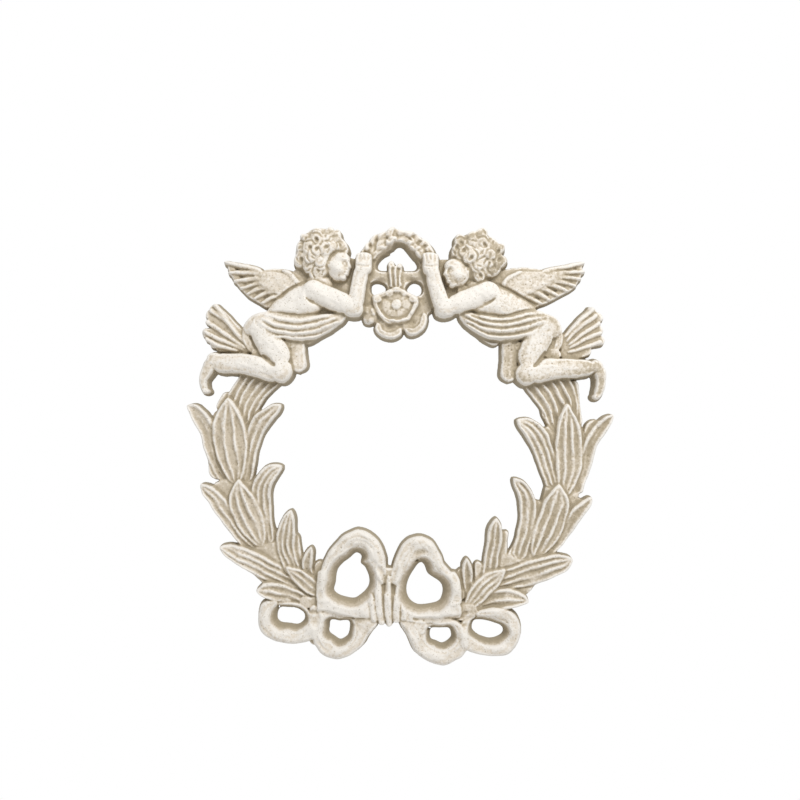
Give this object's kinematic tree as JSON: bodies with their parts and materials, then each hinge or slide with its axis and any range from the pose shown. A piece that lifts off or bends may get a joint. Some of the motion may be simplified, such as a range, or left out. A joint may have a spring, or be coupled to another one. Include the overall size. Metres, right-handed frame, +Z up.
{
  "type": "angel wreath wall ornament",
  "caption": "Cast wall ornament: a leaf wreath tied by a bow below, with two winged cherubs holding a flower crown above.",
  "frame": {"origin": "on the flat back of the crown's arch, where the ornament hangs against the wall", "axes": "+Z up the wall, +Y into the wall, so the relief faces -Y; +X to the viewer's right"},
  "size_m": [0.3011, 0.0209, 0.3103],
  "materials": {
    "antique_white": "antique white paint on a sand-cast surface, pitted, with a tan-brown wash left in the hollows"
  },
  "bodies": {
    "root": {"angel_wreath": "antique_white"}
  },
  "joints": []
}
